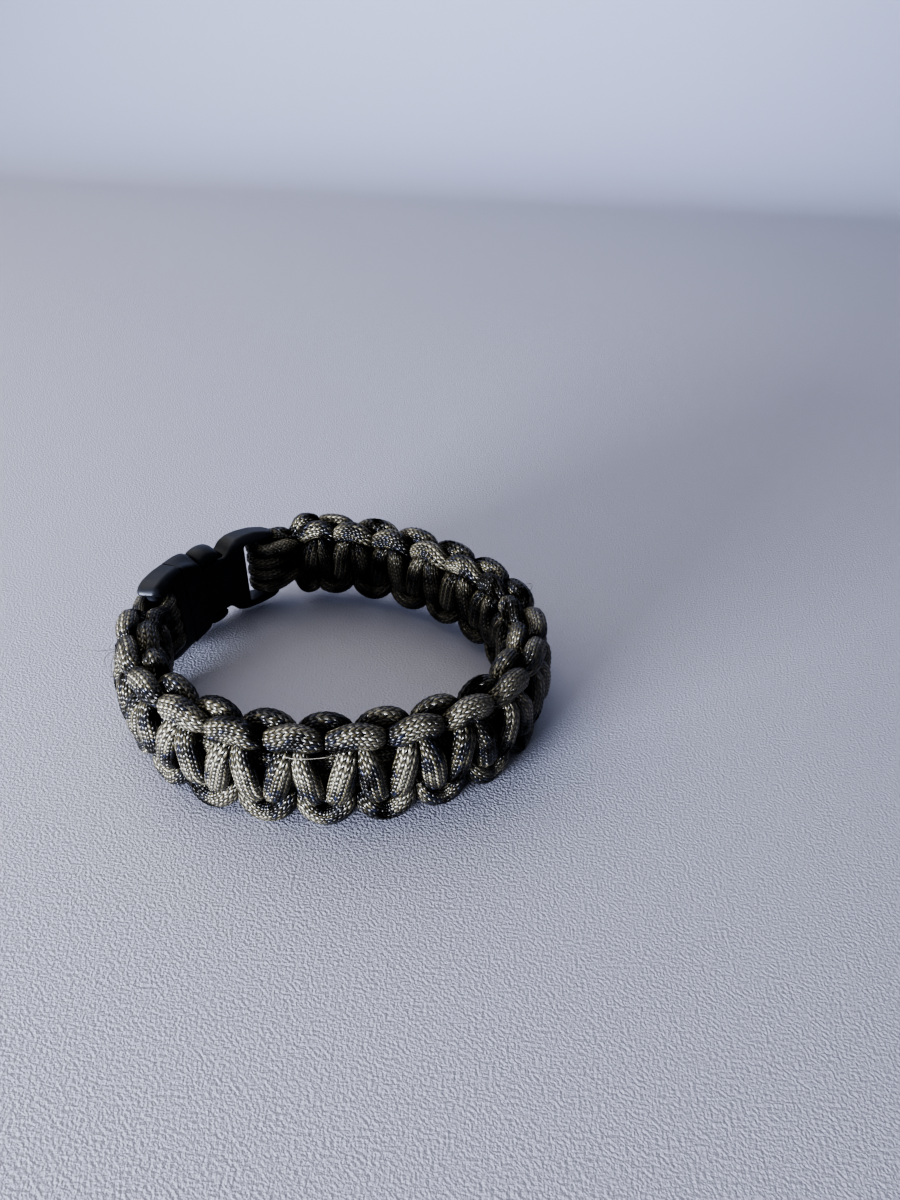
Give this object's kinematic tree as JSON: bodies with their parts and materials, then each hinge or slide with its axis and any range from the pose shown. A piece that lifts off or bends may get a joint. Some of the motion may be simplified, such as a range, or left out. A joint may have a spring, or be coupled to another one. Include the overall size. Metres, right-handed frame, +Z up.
{
  "type": "paracord bracelet",
  "caption": "Square-knot cord bracelet, a closed oval band woven over two core strands, with a contoured side-release buckle, lying on its edge.",
  "frame": {"origin": "middle of the bracelet's outer box, on the surface that its lower edge rests on", "axes": "+Z up across the band's width and through the wrist opening, +X along the ring's longer way, -Y toward the front of the picture with the buckle at the back left"},
  "size_m": [0.0794, 0.0742, 0.0196],
  "materials": {
    "cord_core": "braided nylon sheath, olive and tan camouflage",
    "cord_a": "braided nylon sheath, olive and tan camouflage",
    "cord_b": "braided nylon sheath, olive and tan camouflage",
    "buckle_socket": "fine-textured black moulding",
    "buckle_prongs": "fine-textured black moulding"
  },
  "bodies": {
    "root": {"cord_core": "cord_core", "cord_weave_a": "cord_a", "cord_weave_b": "cord_b", "buckle_socket": "buckle_socket", "buckle_prongs": "buckle_prongs"}
  },
  "joints": []
}
